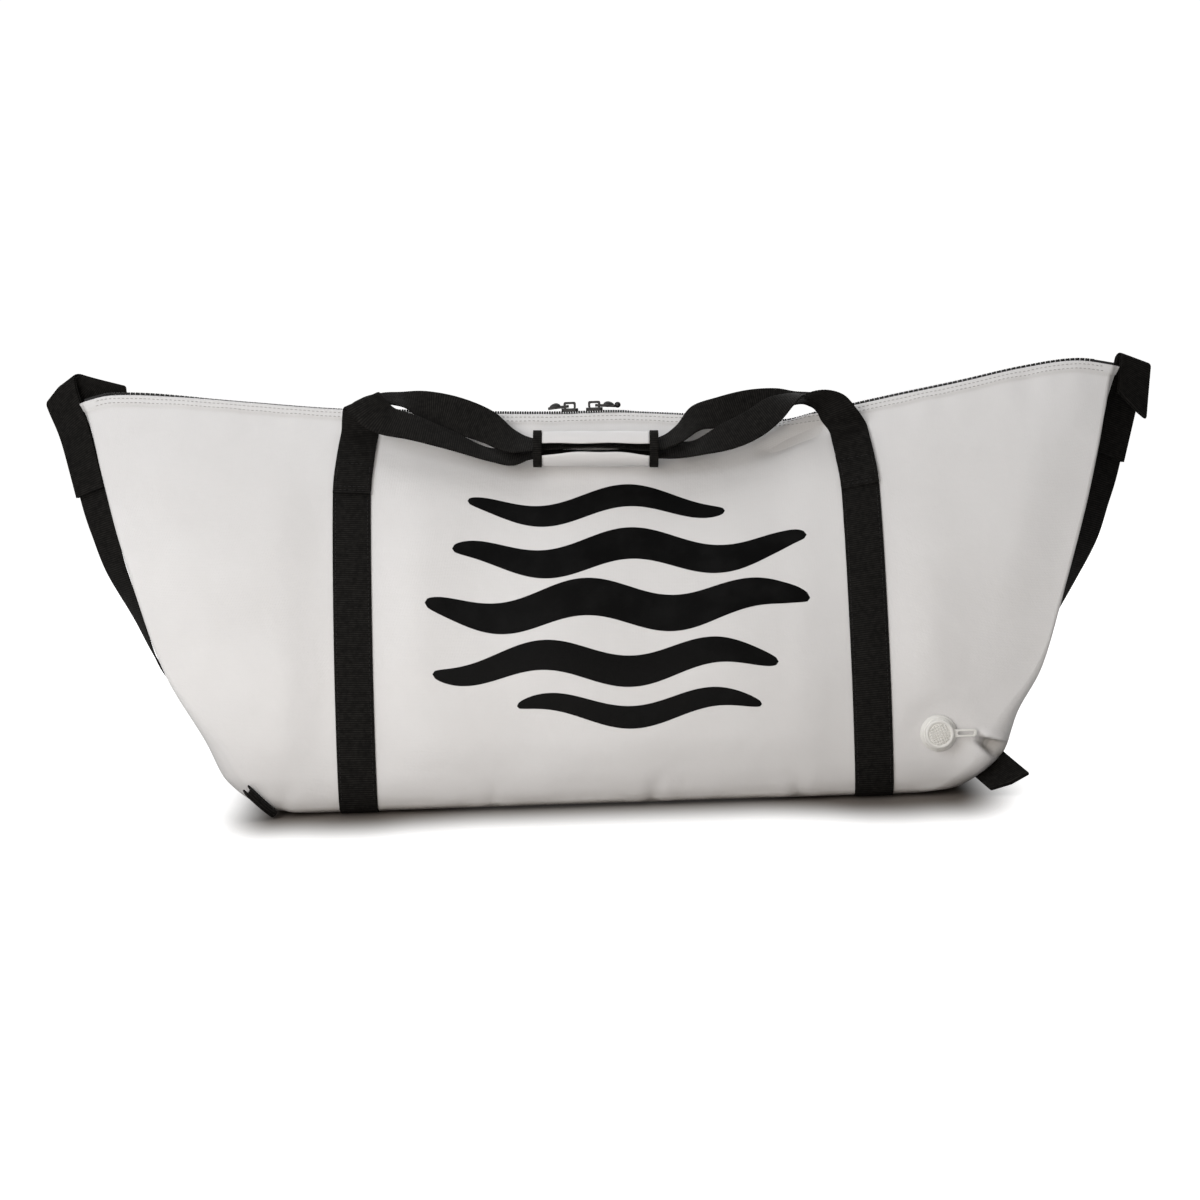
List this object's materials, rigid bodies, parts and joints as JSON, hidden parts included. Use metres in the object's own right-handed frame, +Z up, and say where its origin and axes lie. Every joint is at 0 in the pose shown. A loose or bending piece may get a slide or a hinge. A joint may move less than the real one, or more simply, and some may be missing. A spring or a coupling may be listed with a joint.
{
  "type": "fish kill bag",
  "caption": "Long insulated fish bag of padded white vinyl with a zipped top, black webbing straps and carry handles, end grab loops and a drain plug.",
  "frame": {"origin": "on the floor under the middle of the bag", "axes": "+X along the bag to its right end seen from the front, +Y to the back, +Z up"},
  "size_m": [1.1316, 0.3225, 0.4373],
  "materials": {
    "vinyl": "white vinyl-coated cloth with a fine woven grain, satin",
    "webbing": "black ribbed polyester webbing, matte",
    "zip_plastic": "black moulded teeth on woven tape",
    "zip_metal": "black enamel",
    "drain_plastic": "moulded off-white plastic"
  },
  "bodies": {
    "bag": {"bag_body": "vinyl", "drain_seat": "drain_plastic", "drain_cap": "drain_plastic", "zip_tape": "zip_plastic", "zip_chain": "zip_plastic", "zip_slider_left": "zip_metal", "zip_slider_right": "zip_metal", "body_strap_left": "webbing", "body_strap_right": "webbing", "handle_front": "webbing", "handle_back": "webbing", "grip_wrap": "vinyl", "grip_binding_left": "webbing", "grip_binding_right": "webbing", "end_strap_left": "webbing", "end_strap_right": "webbing", "end_loop_left": "webbing", "end_loop_right": "webbing", "corner_tab_left": "webbing", "corner_tab_right": "webbing"},
    "pull_left": {"zip_pull_left": "zip_metal"},
    "pull_right": {"zip_pull_right": "zip_metal"}
  },
  "joints": [
    {"name": "pull_left_hinge", "type": "hinge", "parent": "bag", "child": "pull_left", "pos_m": [-0.0332, 0, 0.38944], "axis": [0, 1, 0], "range_deg": [0, 125]},
    {"name": "pull_right_hinge", "type": "hinge", "parent": "bag", "child": "pull_right", "pos_m": [-0.0038, 0, 0.38965], "axis": [0, -1, 0], "range_deg": [0, 125]}
  ]
}
